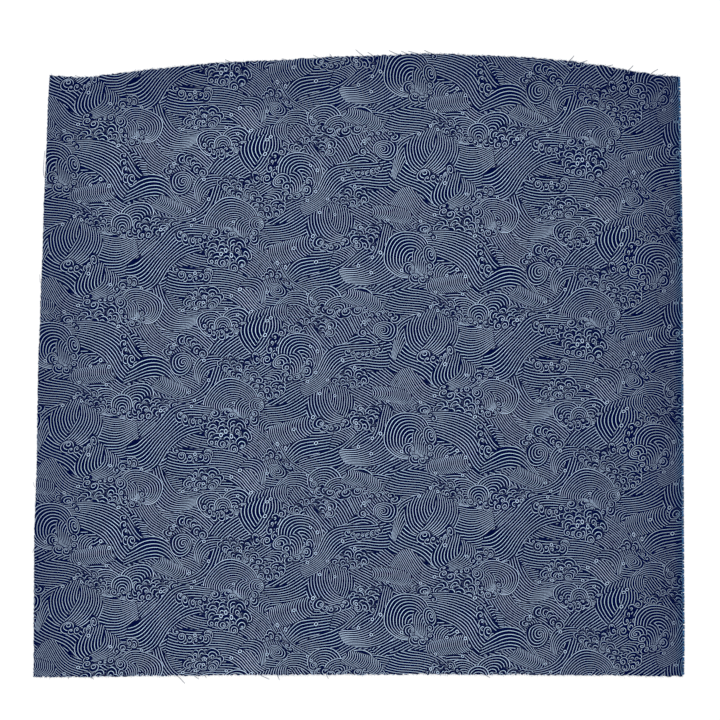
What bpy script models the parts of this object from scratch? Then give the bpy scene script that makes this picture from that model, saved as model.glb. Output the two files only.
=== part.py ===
"""Fabric remnant: a cut length of printed cotton that lies flat with its printed face up.

Lengths are in metres and +Z is up. The origin is under the middle of the piece's bounding box, on the
surface that it lies on. +X runs across the cloth to its selvedge, +Y along it to the arched cut.

The outline is worked out on a cutting frame first, whose corner is the bottom left corner of the cloth,
and then moved so that the box is centred.
"""

import math
import random

import bpy
from mathutils import Vector

NAME = "fabric_remnant"
SEED = 11

# Driving sizes of the cut length
BOTTOM_WIDTH = 0.5753
LEFT_HEIGHT = 0.5316
RIGHT_HEIGHT = 0.5300
THICKNESS = 0.0010

# How far each side leans in at its top end, and how late along the side it does so
LEFT_LEAN = 0.0147
LEFT_BOW = 1.7
RIGHT_LEAN = 0.0042
RIGHT_BOW = 1.6

# The bottom cut rises slightly in its middle and towards the selvedge
BOTTOM_RISE = 0.0020
BOTTOM_TILT = 0.0011

# The top cut is an uneven shallow arch: its height above the bottom corner, at distances from the left side
TOP_CUT = (
    {"along": 0.0145, "height": 0.5316},
    {"along": 0.0400, "height": 0.5299},
    {"along": 0.0730, "height": 0.5330},
    {"along": 0.1150, "height": 0.5378},
    {"along": 0.1440, "height": 0.5411},
    {"along": 0.2000, "height": 0.5442},
    {"along": 0.2850, "height": 0.5484},
    {"along": 0.3560, "height": 0.5504},
    {"along": 0.4120, "height": 0.5480},
    {"along": 0.4690, "height": 0.5444},
    {"along": 0.5110, "height": 0.5378},
    {"along": 0.5400, "height": 0.5330},
    {"along": 0.5711, "height": 0.5300},
)

# Small waves of the scissors: size, number along the side and start of each
CUT_WANDER = (
    {"size": 0.00028, "waves": 7.0, "start": 0.6},
    {"size": 0.00022, "waves": 17.0, "start": 2.1},
)
# Share of them that the left and bottom cuts have
STRAIGHT_SHARE = 0.5

# Narrow strips that carry the strands, and the gap between pieces
STRIP_WIDTH = 0.0020
SIDE_GAP = 0.0003

# Tufts of the selvedge
TUFT_PITCH = 0.00292
TUFT_ROOT = 0.0019
TUFT_TIP = 0.0013
TUFT_REACH = 0.0024
TUFT_SHORTEST = 0.75
TUFT_SWAY = 7.0

# Short raveled ends between the loose threads
STUB_PITCH = 0.0120
STUB_SHIFT = 0.25
STUB_WIDTH = 0.0007
STUB_SHORTEST = 0.0006
STUB_LONGEST = 0.0014
STUB_SWAY = 25.0
STUB_ROOM = 0.0012

# Loose threads
THREAD_WIDTH = 0.0006
THREAD_TIP = 0.0004

# Loose threads of the arched cut: place, length, and lean in degrees, positive towards the selvedge
TOP_THREADS = (
    {"along": 0.0401, "length": 0.0038, "lean": -66.0},
    {"along": 0.1745, "length": 0.0056, "lean": -70.0},
    {"along": 0.2240, "length": 0.0046, "lean": -70.0},
    {"along": 0.2523, "length": 0.0057, "lean": -66.0},
    {"along": 0.2638, "length": 0.0035, "lean": -40.0},
    {"along": 0.2921, "length": 0.0095, "lean": -56.0},
    {"along": 0.3000, "length": 0.0057, "lean": -51.0},
    {"along": 0.3230, "length": 0.0096, "lean": -72.0},
    {"along": 0.3310, "length": 0.0066, "lean": -69.0},
    {"along": 0.3389, "length": 0.0080, "lean": -70.0},
    {"along": 0.3531, "length": 0.0083, "lean": -72.0},
    {"along": 0.4733, "length": 0.0066, "lean": 48.0},
    {"along": 0.4839, "length": 0.0060, "lean": 74.0},
    {"along": 0.5069, "length": 0.0055, "lean": 72.0},
    {"along": 0.5255, "length": 0.0063, "lean": 51.0},
    {"along": 0.5458, "length": 0.0072, "lean": 42.0},
    {"along": 0.5546, "length": 0.0046, "lean": 72.0},
)

# Loose threads of the bottom cut, in the same columns
BOTTOM_THREADS = (
    {"along": 0.0304, "length": 0.0019, "lean": 20.0},
    {"along": 0.0507, "length": 0.0034, "lean": 50.0},
    {"along": 0.1268, "length": 0.0097, "lean": 50.0},
    {"along": 0.1418, "length": 0.0053, "lean": 48.0},
    {"along": 0.1515, "length": 0.0026, "lean": 31.0},
    {"along": 0.2001, "length": 0.0093, "lean": 59.0},
    {"along": 0.2152, "length": 0.0050, "lean": 31.0},
    {"along": 0.2589, "length": 0.0041, "lean": 12.0},
    {"along": 0.3982, "length": 0.0060, "lean": 68.0},
)

# Points along each side of the panel
SIDE_STEPS = 24
CUT_STEPS = 48

# Colour, roughness and metallic value of each piece
CLOTH_LOOK = {"colour": (0.101, 0.129, 0.191), "roughness": 0.86, "metallic": 0.0}
SELVEDGE_LOOK = {"colour": (0.048, 0.088, 0.165), "roughness": 0.92, "metallic": 0.0}
FRAY_LOOK = {"colour": (0.110, 0.145, 0.215), "roughness": 0.92, "metallic": 0.0}

# For each fringed side, the direction away from the cloth and the one in which places along it are measured
TOP_SIDE = {"outward": (0.0, 1.0), "onward": (1.0, 0.0)}
BOTTOM_SIDE = {"outward": (0.0, -1.0), "onward": (1.0, 0.0)}
SELVEDGE_SIDE = {"outward": (1.0, 0.0), "onward": (0.0, 1.0)}


def clear_scene():
    """Removes every object, so that the file can be run again."""
    for found in list(bpy.data.objects):
        bpy.data.objects.remove(found, do_unlink=True)


def evenly(first, last, steps):
    """Evenly spaced values from first to last, with both ends."""
    return [first + (last - first) * step / steps for step in range(steps + 1)]


def wander(share):
    """The small waves of a cut, at a share of the way along it."""
    return sum(
        wave["size"] * math.sin(2 * math.pi * wave["waves"] * share + wave["start"])
        for wave in CUT_WANDER
    )


def left_side(height):
    """Where the left cut lies at a height above the bottom corner."""
    share = max(height, 0.0) / LEFT_HEIGHT
    return LEFT_LEAN * share**LEFT_BOW + wander(share) * STRAIGHT_SHARE


def right_side(height):
    """Where the tips of the selvedge fringe lie at a height."""
    share = max(height, 0.0) / RIGHT_HEIGHT
    return BOTTOM_WIDTH - RIGHT_LEAN * share**RIGHT_BOW


def bottom_cut(along):
    """Height of the bottom cut at a distance from the left corner."""
    share = along / BOTTOM_WIDTH
    return BOTTOM_RISE * math.sin(math.pi * share) + BOTTOM_TILT * share + wander(share) * STRAIGHT_SHARE


def smooth_height(stations, along):
    """Height of a smooth curve through the stations, by cubic pieces that share their slopes."""
    last = len(stations) - 1
    slopes = []
    for index in range(last + 1):
        before, after = stations[max(index - 1, 0)], stations[min(index + 1, last)]
        slopes.append((after["height"] - before["height"]) / (after["along"] - before["along"]))
    index = sum(1 for found in stations[1:-1] if found["along"] < along)
    near, far = stations[index], stations[index + 1]
    span = far["along"] - near["along"]
    t = (along - near["along"]) / span
    return (
        near["height"] * (1 + 2 * t) * (1 - t) ** 2
        + far["height"] * t**2 * (3 - 2 * t)
        + slopes[index] * span * t * (1 - t) ** 2
        - slopes[index + 1] * span * t**2 * (1 - t)
    )


def top_cut(along):
    """Height of the arched cut at a distance from the left corner."""
    return smooth_height(TOP_CUT, along) + wander(along / BOTTOM_WIDTH)


def selvedge_root(height):
    """Where the tufts leave their strip."""
    return right_side(height) - TUFT_REACH


def cloth_right(height):
    """The panel's own edge, beside the selvedge strip."""
    return selvedge_root(height) - STRIP_WIDTH - SIDE_GAP


def panel_outline():
    """The cloth inside its three strips, from the bottom left corner round."""
    inset = STRIP_WIDTH + SIDE_GAP
    low, high = inset, LEFT_HEIGHT - inset
    top_right = cloth_right(RIGHT_HEIGHT)
    bottom = [(x, bottom_cut(x) + inset) for x in evenly(left_side(low), cloth_right(low), CUT_STEPS)]
    top = [(x, top_cut(x) - inset) for x in evenly(top_right, left_side(high), CUT_STEPS)]
    right = [(cloth_right(y), y) for y in evenly(bottom[-1][1], top[0][1], SIDE_STEPS)]
    left = [(left_side(y), y) for y in evenly(top[-1][1], bottom[0][1], SIDE_STEPS)]
    return bottom + right[1:-1] + top + left[1:-1]


def strand(edge, row, side):
    """Four points of a strand, from one side of its root over its tip to the other side.

    edge gives the point at a place along it. A positive lean is towards later places.
    """
    lean = math.radians(row["lean"])
    outward, onward = Vector(side["outward"]), Vector(side["onward"])
    forward = outward * math.cos(lean) + onward * math.sin(lean)
    aside = onward * math.cos(lean) - outward * math.sin(lean)
    tip = Vector(edge(row["along"])) + forward * row["length"]
    return [
        edge(row["along"] - row["root"] / 2),
        tuple(tip - aside * row["tip"] / 2),
        tuple(tip + aside * row["tip"] / 2),
        edge(row["along"] + row["root"] / 2),
    ]


def comb_outline(edge, inner, ends, rows, side):
    """A narrow strip with strands on its outer edge, as one closed outline."""
    outer = [edge(ends[0])]
    for row in sorted(rows, key=lambda found: found["along"]):
        outer += strand(edge, row, side)
    outer.append(edge(ends[1]))
    back = [inner(at) for at in evenly(ends[1], ends[0], CUT_STEPS)]
    return outer + back


def fray_rows(threads, ends, draw):
    """The loose threads of a cut, with short raveled ends in the room between them."""
    rows = []
    taken = []
    for thread in threads:
        lean = math.radians(thread["lean"])
        rows.append({**thread, "root": THREAD_WIDTH / math.cos(lean), "tip": THREAD_TIP})
        swing = thread["length"] * math.sin(lean)
        low, high = sorted((thread["along"], thread["along"] + swing))
        taken.append((low - STUB_ROOM, high + STUB_ROOM))
    count = int((ends[1] - ends[0]) / STUB_PITCH)
    for at in evenly(ends[0] + STUB_PITCH / 2, ends[1] - STUB_PITCH / 2, count - 1):
        along = at + draw.uniform(-STUB_SHIFT, STUB_SHIFT) * STUB_PITCH
        length = draw.uniform(STUB_SHORTEST, STUB_LONGEST)
        lean = draw.uniform(-STUB_SWAY, STUB_SWAY)
        if any(low < along < high for low, high in taken):
            continue
        stub = {"along": along, "length": length, "lean": lean}
        rows.append({**stub, "root": STUB_WIDTH, "tip": THREAD_TIP})
    return rows


def tuft_rows(ends, draw):
    """The tufts of the selvedge, close together and slightly uneven."""
    count = int((ends[1] - ends[0]) / TUFT_PITCH)
    margin = (ends[1] - ends[0] - (count - 1) * TUFT_PITCH) / 2
    rows = []
    for at in evenly(ends[0] + margin, ends[1] - margin, count - 1):
        rows.append({
            "along": at,
            "length": TUFT_REACH * draw.uniform(TUFT_SHORTEST, 1.0),
            "lean": draw.uniform(-TUFT_SWAY, TUFT_SWAY),
            "root": TUFT_ROOT,
            "tip": TUFT_TIP,
        })
    return rows


def top_fray_outline(draw):
    """The strip and strands along the arched cut."""
    ends = (left_side(LEFT_HEIGHT), cloth_right(RIGHT_HEIGHT))
    return comb_outline(
        lambda x: (x, top_cut(x)),
        lambda x: (x, top_cut(x) - STRIP_WIDTH),
        ends,
        fray_rows(TOP_THREADS, ends, draw),
        TOP_SIDE,
    )


def bottom_fray_outline(draw):
    """The strip and strands along the bottom cut."""
    ends = (left_side(0.0), cloth_right(0.0))
    return comb_outline(
        lambda x: (x, bottom_cut(x)),
        lambda x: (x, bottom_cut(x) + STRIP_WIDTH),
        ends,
        fray_rows(BOTTOM_THREADS, ends, draw),
        BOTTOM_SIDE,
    )


def selvedge_outline(draw):
    """The strip and tufts along the selvedge."""
    ends = (bottom_cut(BOTTOM_WIDTH), top_cut(BOTTOM_WIDTH - RIGHT_LEAN))
    return comb_outline(
        lambda y: (selvedge_root(y), y),
        lambda y: (selvedge_root(y) - STRIP_WIDTH, y),
        ends,
        tuft_rows(ends, draw),
        SELVEDGE_SIDE,
    )


def box_centre(outlines):
    """The middle of the box round all the outlines."""
    xs = [x for outline in outlines for x, _ in outline]
    ys = [y for outline in outlines for _, y in outline]
    return (min(xs) + max(xs)) / 2, (min(ys) + max(ys)) / 2


def finish_of(name, look):
    """A Principled material with the piece's colour, roughness and metallic value."""
    material = bpy.data.materials.new(name)
    material.use_nodes = True
    shader = material.node_tree.nodes["Principled BSDF"]
    shader.inputs["Base Color"].default_value = (*look["colour"], 1.0)
    shader.inputs["Roughness"].default_value = look["roughness"]
    shader.inputs["Metallic"].default_value = look["metallic"]
    material.diffuse_color = (*look["colour"], 1.0)
    return material


def flat_piece(name, outline, centre, look, collection):
    """A flat piece cut to an outline, lying on the surface."""
    curve = bpy.data.curves.new(name, "CURVE")
    curve.dimensions = "2D"
    curve.fill_mode = "BOTH"
    curve.extrude = THICKNESS / 2
    spline = curve.splines.new("POLY")
    spline.points.add(len(outline) - 1)
    for point, (x, y) in zip(spline.points, outline):
        point.co = (x - centre[0], y - centre[1], 0.0, 1.0)
    spline.use_cyclic_u = True
    curve.materials.append(finish_of(name, look))
    piece = bpy.data.objects.new(name, curve)
    piece.location.z = THICKNESS / 2
    collection.objects.link(piece)
    return piece


def main():
    """Makes the four pieces, centred under the origin of their box."""
    clear_scene()
    draw = random.Random(SEED)
    collection = bpy.data.collections.new(NAME)
    bpy.context.scene.collection.children.link(collection)
    pieces = (
        ("cloth", panel_outline(), CLOTH_LOOK),
        ("selvedge_fringe", selvedge_outline(draw), SELVEDGE_LOOK),
        ("top_fray", top_fray_outline(draw), FRAY_LOOK),
        ("bottom_fray", bottom_fray_outline(draw), FRAY_LOOK),
    )
    centre = box_centre([outline for _, outline, _ in pieces])
    for name, outline, look in pieces:
        flat_piece(name, outline, centre, look, collection)


main()
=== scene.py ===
"""Looks of the fabric remnant: wave-printed cotton that lies flat, with a fringed selvedge and raveled cuts.

The file is laid out as an add-on: an operator makes each piece or group of like pieces, and the sidebar
lists them. Lengths are in metres. +X runs across the cloth to its selvedge, +Y along it to the arched cut,
and +Z up out of the print.
"""

import math
import random
from types import SimpleNamespace

import bpy
import numpy as np
from bpy.props import FloatProperty, FloatVectorProperty, IntProperty, PointerProperty
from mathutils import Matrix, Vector
from mathutils.bvhtree import BVHTree
from mathutils.geometry import delaunay_2d_cdt
from mathutils.kdtree import KDTree


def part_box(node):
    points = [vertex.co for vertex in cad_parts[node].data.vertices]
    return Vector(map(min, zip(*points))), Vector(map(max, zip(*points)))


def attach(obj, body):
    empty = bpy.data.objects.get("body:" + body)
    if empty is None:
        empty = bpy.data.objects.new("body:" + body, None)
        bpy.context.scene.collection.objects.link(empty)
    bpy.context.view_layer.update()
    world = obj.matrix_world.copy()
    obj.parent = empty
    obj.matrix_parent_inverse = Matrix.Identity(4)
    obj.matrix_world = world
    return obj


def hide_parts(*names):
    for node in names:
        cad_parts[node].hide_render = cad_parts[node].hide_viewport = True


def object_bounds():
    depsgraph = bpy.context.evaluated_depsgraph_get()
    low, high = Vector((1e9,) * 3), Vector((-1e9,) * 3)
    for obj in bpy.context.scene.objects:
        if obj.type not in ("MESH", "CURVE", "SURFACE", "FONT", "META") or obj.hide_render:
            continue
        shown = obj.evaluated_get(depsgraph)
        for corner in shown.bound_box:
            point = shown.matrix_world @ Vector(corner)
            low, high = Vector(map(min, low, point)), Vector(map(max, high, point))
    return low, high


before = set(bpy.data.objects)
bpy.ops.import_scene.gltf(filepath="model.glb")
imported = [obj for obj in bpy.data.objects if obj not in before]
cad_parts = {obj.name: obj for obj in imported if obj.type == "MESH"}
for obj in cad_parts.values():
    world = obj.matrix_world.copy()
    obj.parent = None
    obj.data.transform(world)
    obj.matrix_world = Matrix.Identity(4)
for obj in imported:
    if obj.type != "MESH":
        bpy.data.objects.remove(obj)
SOURCE_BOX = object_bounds()

bl_info = {
    "name": "Fabric remnant looks",
    "version": (1, 0, 0),
    "blender": (4, 5, 0),
    "location": "3D View > Sidebar > Remnant",
    "description": "Dresses a cut length of wave-printed cotton with its print, weave, fringe and threads",
    "category": "Object",
}

BODY = "root"
MM = 0.001


def table(columns, *lines):
    """The rows of a table whose columns have names."""
    return [SimpleNamespace(**dict(zip(columns.split(), line))) for line in lines]


# How far the cotton reaches past the source's cloth on each side: over the strips there, out to the
# photo's edge
GROWTH = {"left": 0.00050, "right": 0.0038, "top": 0.0023, "bottom": 0.0028}

# Gentle waves of the lying cloth: height, length of the wave across and along, and start
SWELLS = table(
    "height across along start",
    (0.00016, 0.290, 0.410, 0.3),
    (0.00010, -0.170, 0.230, 1.7),
    (0.00005, 0.110, -0.090, 4.0),
)

# Shallow bays of the left cut and the selvedge: height of the middle over the cloth's low edge, reach,
# and depth inward
BAYS = table(
    "side middle reach depth",
    ("left", 0.040, 0.045, 0.0006),
    ("left", 0.198, 0.026, 0.0009),
    ("left", 0.364, 0.030, 0.00045),
    ("right", 0.000, 0.030, 0.0006),
    ("right", 0.138, 0.110, 0.0005),
    ("right", 0.404, 0.035, -0.0005),
)

# The cut edges: length of a step, and how far the scissors and loosened threads leave each side uneven
CUT_STEP = 0.0014
CUT_ROUGHNESS = {"bottom": 0.00075, "right": 0.0, "top": 0.00070, "left": 0.00036}

# The mesh: how much coarser the underside's grid is, its gap to the floor, and what counts as a sharp
# edge
UNDERSIDE_COARSENESS = 1.5
FLOOR_GAP = 0.00003
SHARP_ANGLE = 40.0

# The print's half-drop repeat, across the cloth and along it
REPEAT_ACROSS = 0.3150
REPEAT_ALONG = 0.1600

# Painter's layers of the print, and the kinds of patch, as its shader tells them apart
GROUND_LAYER, MOTIF_LAYER, SPRAY_LAYER = range(3)
BARE, ROUND, BAND = range(3)

# Slow drift of the drawing: its size across and along, and its number of waves on the repeat's two ways
DRIFTS = table(
    "across along wide tall start",
    (0.0016, 0.0010, 3, 1, 0.4),
    (-0.0008, 0.0016, 1, 2, 1.9),
    (0.0010, 0.0009, 5, 1, 3.1),
    (0.0007, -0.0009, 4, 4, 0.9),
    (0.0007, 0.0007, -4, 3, 4.4),
)

# Rounds that bring a point of the drawing back to the cloth
DRIFT_ROUNDS = 12

# Where each motif of one repeat stands: millimetres across and along, size, turn in degrees, and hand
MOTIF_PLACES = table(
    "motif across along size turn hand",
    ("breaker", 46, 92, 20, 8, 1),
    ("breaker", 204, 42, 22, -4, 1),
    ("breaker", 262, 84, 18, 10, -1),
    ("breaker", 120, 128, 18, -8, -1),
    ("swell", 108, 50, 17, 6, 1),
    ("swell", 300, 138, 18, -6, 1),
    ("swell", 196, 118, 15, 10, -1),
    ("whirl", 160, 84, 15, 0, 1),
    ("whirl", 22, 30, 14, 20, -1),
    ("whirl", 240, 148, 13, -10, -1),
    ("plume", 66, 20, 18, 0, 1),
    ("plume", 290, 36, 17, 8, -1),
    ("plume", 84, 146, 15, -6, 1),
    ("plume", 232, 100, 14, 4, 1),
    ("stream", 150, 20, 44, 22, 1),
    ("stream", 90, 98, 42, -26, 1),
    ("stream", 300, 80, 40, 24, 1),
    ("stream", 190, 150, 42, -20, -1),
    ("crest", 78, 74, 20, 14, 1),
    ("crest", 150, 60, 18, -22, -1),
    ("crest", 232, 122, 18, 12, 1),
    ("crest", 4, 58, 18, -20, -1),
    ("crest", 254, 22, 20, 16, 1),
    ("crest", 30, 134, 18, -10, -1),
    ("foam", 74, 46, 17, 4, 1),
    ("foam", 138, 40, 14, -8, 1),
    ("foam", 8, 112, 17, 6, 1),
    ("foam", 84, 118, 15, 0, 1),
    ("foam", 210, 78, 16, -6, 1),
    ("foam", 176, 140, 14, 0, 1),
    ("foam", 274, 112, 16, 8, 1),
    ("foam", 236, 60, 13, 0, 1),
    ("foam", 196, 17, 18, -14, 1),
    ("foam", 305, 68, 14, 12, 1),
)

# How far the line pitch of rings and of bands varies
RING_PITCHES = (0.92, 1.10)
BAND_PITCHES = (0.92, 1.10)

# How much closer the rings of a lopsided patch lie, and how much wider the lines of a fan, so that both
# stay even
RING_OPENING = 0.5
FAN_OPENING = 0.5

# Hooks: how far lopsided and squeezed they are, their pitch along a rim and least reach, how far they
# stray, and how their sizes, turns and hands vary
HOOK_LOPSIDED = (0.3, 0.6)
HOOK_SQUEEZE = (0.8, 1.2)
HOOK_PITCH = 1.3
HOOK_LEAST = 1.3
HOOK_SHIFT = 0.25
HOOK_STRAY = 0.5
HOOK_SIZES = (0.6, 1.4)
HOOK_TURNS = (-20, 80)
HOOK_HANDS = (-1, -1, 1)
HOOK_STEP = 0.02

# Foam: pitch of its hooks across and along in curl pitches, height, how far they stray, and how they vary
FOAM_ACROSS = 2.9
FOAM_ALONG = 1.9
FOAM_HEIGHT = 0.45
FOAM_SHIFT = 0.35
FOAM_RISE = 0.4
FOAM_SIZES = (1.2, 2.7)
FOAM_TURN = 80
FOAM_SQUEEZE = (0.8, 1.25)

# Currents that fill the ground between the motifs: their number on the repeat's two ways, how far they
# stray, half sizes, and limits of their turn, bow, fan, sway and wave
CURRENT_COLUMNS = 6
CURRENT_ROWS = 6
CURRENT_SHIFT = 0.25
CURRENT_REACH = 0.025
CURRENT_LENGTH = 0.052
CURRENT_TURN = 55.0
CURRENT_BOW = 4.5
CURRENT_FAN = 5.0
CURRENT_SWAYS = (0.001, 0.003)
CURRENT_WAVES = (0.05, 0.08)

# Spray: small rings with a dark middle
SPRAY_COUNT = 70
SPRAY_REACH = 0.0012
SPRAY_PITCH = 0.0040

# Outlines of patches: what sets the number of their steps, its limits, and the least spread of a fan
ROUND_FINENESS = 0.0000222
ROUND_STEPS = (10, 48)
BAND_FINENESS = 0.0035
BAND_STEPS = (16, 56)
LEAST_SPREAD = 0.3

# How near points are one: where outlines are cut, where the lighter mesh is made, and along its seams
# before that
FINE_NEARNESS = 1e-7
SEAM_NEARNESS = 2e-5
SEAM_WELD = 5e-5

# Least values that keep the print's formulas from dividing by nothing
TINY = 1e-9
BAND_EASE = 1e-3

# Ink: soft edge and waver of a line, unevenness of its width, share of a crowded pitch, where a branch
# opens between lines that spread and how fast, and the rim's share
INK_EDGE = 0.00010
INK_WAVER = 0.00010
INK_WAVER_SIZE = 0.0008
INK_HAND = 0.5
INK_HAND_SIZE = 0.009
CROWDED_SHARE = 0.55
BRANCH_AT = 1.45
BRANCH_RATE = 5.0
RIM_SHARE = 0.9

# Ground and weave: uneven threads, clouds of dye, tones of the dye and of plain cotton, the least of a
# thread's hill and what its neighbour adds, the tone that paints shade into the hollows between the
# threads and mixes in the slubs' own tone, the roughness, and the relief
SLUB_STRETCH = (1.0, 0.08, 1.0)
SLUB_SIZE = 0.0009
CLOUD_SIZE = 0.035
CLOUD_TONES = (0.80, 1.25)
PLAIN_TONES = (0.75, 1.3)
HILL_LEAST = 0.55
HILL_RISE = 0.45
WEAVE_SHADE_AND_SLUB_TONE = 0.86
WEAVE_SHADE_AND_SLUB_DEPTH = 0.28
INK_SMOOTHNESS = 0.06
SLUB_ROUGHNESS = 0.05
WEAVE_RELIEF = 0.8
SLUB_RELIEF = 0.2
WEAVE_DEPTH = 0.25
WEAVE_STRENGTH = 0.6

# Dimmer lines: dry patches, the dim band by the selvedge, the wider band beside it where the lines dim
# towards the selvedge, and painted shade over the left and top, where the light falls off
DRY_SIZE = 0.0035
DRY_RANGE = (0.52, 0.75)
DRY_DEPTH = 0.22
DIM_BAND = 0.046
DIM_DEPTH = 0.35
SELVEDGE_DIMMING_BAND = 0.200
SELVEDGE_DIMMING_END = 0.030
SELVEDGE_DIMMING_DEPTH = 0.20
# Painted shade: the lines darken within this band of the left and top cuts, where the light falls off
LEFT_TOP_SHADE_BAND = 0.072
LEFT_TOP_SHADE_DEPTH = 0.29

# Edges: tint of the lines by the selvedge, its unprinted band, and the worn cuts
TINT_BAND = 0.0085
TINT_DEPTH = 0.9
BARE_EDGE = 0.0001
BARE_EASE = 0.0005
WORN_EDGE = 0.0005
WORN_DEPTH = 0.2

# The washed-out wrong side, and the slope where it ends
GHOST_SIZE = 0.004
GHOST_RANGE = (0.35, 0.65)
GHOST_TONES = (1.9, 2.85)
UP_RANGE = (0.4, 0.6)

# Finish of the cotton and its yarn: shine, sheen, spread of the tones, fibre and twist
SHINE = 0.01
SHEEN_ROUGHNESS = 0.6
YARN_ROUGHNESS = 0.92
YARN_SHEEN = 0.05
FRINGE_SPREAD = 5.0
THREAD_SPREAD = 3.0
FIBRE_STRETCH = (1.0, 0.35, 1.0)
FIBRE_SIZE = 0.0006
FIBRE_SHARE = 0.35
FIBRE_SMOOTHNESS = 0.08
TWIST_SIZE = 0.00035
TWIST_DEPTH = 0.00008
TWIST_STRENGTH = 0.6

# Where the top, the underside and the rim lie on the baking map
TOP_MAP = (0.004, 0.004, 0.830, 0.996)
UNDER_MAP = (0.846, 0.004, 0.996, 0.996)
RIM_MAP = (0.835, 0.004, 0.841, 0.996)

# Every strand: its height where it leaves the cloth, and how soon it comes down to the floor
CLOTH_LIFT = 0.00030
FALL_RATE = 2.5

# Tufts of the selvedge: pitch, width at the root, jitter, reach and how it varies, sway in degrees, how
# far the ends close and stray, and how they start inside the cloth
TUFT_PITCH = 0.00235
TUFT_ROOT = 0.00225
TUFT_SHIFT = 0.14
TUFT_REACH = 0.00156
TUFT_REACHES = (0.90, 1.05)
TUFT_SWAY = 9
TUFT_CLOSING = 0.18
TUFT_STRAY = 3.5
TUFT_INSIDE = 0.0016

# Ends of a tuft: radius and how it varies, jitter and hook in millimetres, lengths, tones of a tuft, how
# much lighter its rim is and how far an end's tone strays
END_RADIUS = 0.00022
END_RADII = (0.8, 1.15)
END_SHIFT = 0.08
END_HOOK = 0.12
END_LENGTHS = (0.95, 1.02)
END_TIP = 0.9
END_STEPS = 4
END_SIDES = 4
TUFT_TONES = (-0.30, 0.55)
RIM_TONE = 0.8
TONE_STRAY = 0.25

# Loose threads of the cuts, in millimetres: place from the source's left side, length, lean in degrees
# towards the selvedge, and how far the tip hooks aside
THREAD_COLUMNS = "place length lean hook"
TOP_THREADS = table(
    THREAD_COLUMNS,
    (40.1, 3.8, -66, 0.3),
    (174.5, 5.6, -70, 0.5),
    (224.0, 4.6, -70, -0.4),
    (252.3, 5.7, -66, 0.4),
    (263.8, 3.5, -40, 0.3),
    (292.1, 9.5, -56, 0.8),
    (300.0, 5.7, -51, -0.5),
    (323.0, 9.6, -72, 0.9),
    (331.0, 6.6, -69, 0.5),
    (338.9, 8.0, -70, -0.6),
    (353.1, 8.3, -72, 0.7),
    (473.3, 6.6, 48, -0.6),
    (483.9, 6.0, 74, -0.4),
    (506.9, 5.5, 72, 0.4),
    (525.5, 6.3, 51, -0.5),
    (545.8, 7.2, 42, 1.8),
    (554.6, 4.6, 72, -0.3),
)
BOTTOM_THREADS = table(
    THREAD_COLUMNS,
    (30.4, 1.9, 20, 0.2),
    (50.7, 3.4, 50, 0.3),
    (126.8, 9.7, 50, 1.0),
    (141.8, 5.3, 48, -0.5),
    (151.5, 2.6, 31, 0.2),
    (200.1, 9.3, 59, -0.9),
    (215.2, 5.0, 31, 0.5),
    (258.9, 4.1, 12, -0.9),
    (398.2, 6.0, 68, 0.8),
)

# Those threads' start inside the cloth, tones, tip, steps and sides
THREAD_INSIDE = 0.0012
THREAD_TONES = (0.0, 0.3)
THREAD_TIP = 0.7
THREAD_STEPS = 9
THREAD_SIDES = 5

# Short raveled ends and fine fibres that stand off a cut: radius, lengths, missing share, sway in
# degrees, and how much longer every fifth one is
RAVEL, FUZZ = table(
    "radius lengths missing sway burst",
    (0.00016, (0.0003, 0.0013), 0.15, 20.0, 1.8),
    (0.00005, (0.0008, 0.0034), 0.55, 34.0, 1.0),
)
BURST_STEP = 5
FUZZ_PITCH = 0.0018

# Those ends' start inside the cloth, jitter in pitches, hooks by their length, tones, tip, steps and sides
RAVEL_INSIDE = 0.0006
RAVEL_SHIFT = 0.4
RAVEL_HOOK = 0.25
RAVEL_TONES = (0.2, 1.0)
RAVEL_TIP = 0.5
RAVEL_STEPS = 3
RAVEL_SIDES = 3

# Lean of those ends in degrees, and where it turns from left to right on the arched cut, and how gently
RAVEL_LEAN = 48.0
LEAN_TURNS_AT = 0.080
LEAN_EASE = 0.030

# Threads of the left cut, in millimetres: height of the root, rise, distance from the edge, bow and
# weight
LEFT_THREADS = table(
    "height rise away bow weight",
    (445.0, 24.5, 1.9, -0.3, 0.85),
    (352.0, 8.5, 1.2, 0.8, 0.5),
    (172.0, 5.0, 1.6, 1.2, 0.5),
    (118.0, -4.0, 0.9, 0.4, 0.45),
)

# Those threads' start inside the cloth in millimetres, how soon they leave the edge, their steps and tip
LEFT_INSIDE = 0.6
LEFT_LEAVES = 3
LEFT_STEPS = 12
LEFT_TIP = 0.6

# Wisps of the left cut: pitch, missing share, lengths in millimetres, sway in degrees, tip and steps
WISP_PITCH = 0.0022
WISP_MISSING = 0.45
WISP_LENGTHS = (0.15, 0.55)
WISP_SWAY = 35.0
WISP_TIP = 0.4
WISP_STEPS = 2

# Seeds of what is random
BORDER_SEED = 3
TUFT_SEED = 5
TOP_SEED = 7
BOTTOM_SEED = 9
LEFT_SEED = 12

# Stage: the floor, the light, and the point under the camera
FLOOR_SIZE = 14.0
FLOOR_ROUGHNESS = 0.9
FLOOR_CLOUD_SIZE = 0.6
FLOOR_EVENNESS = 0.995
KEY_PLACE = (-0.6, 0.8, 3.2)
KEY_SIZE = 2.6
SENSOR_WIDTH = 36.0
VIEW_MIDDLE = (0.0009, 0.0054)


def a_length(name, description, default):
    """A length among the settings."""
    return FloatProperty(name=name, description=description, default=default, unit="LENGTH")


def a_share(name, description, default):
    """A share from 0 to 1 among the settings."""
    return FloatProperty(name=name, description=description, default=default, subtype="FACTOR")


def a_colour(name, description, default):
    """A colour among the settings."""
    return FloatVectorProperty(name=name, description=description, default=default, subtype="COLOR")


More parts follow.
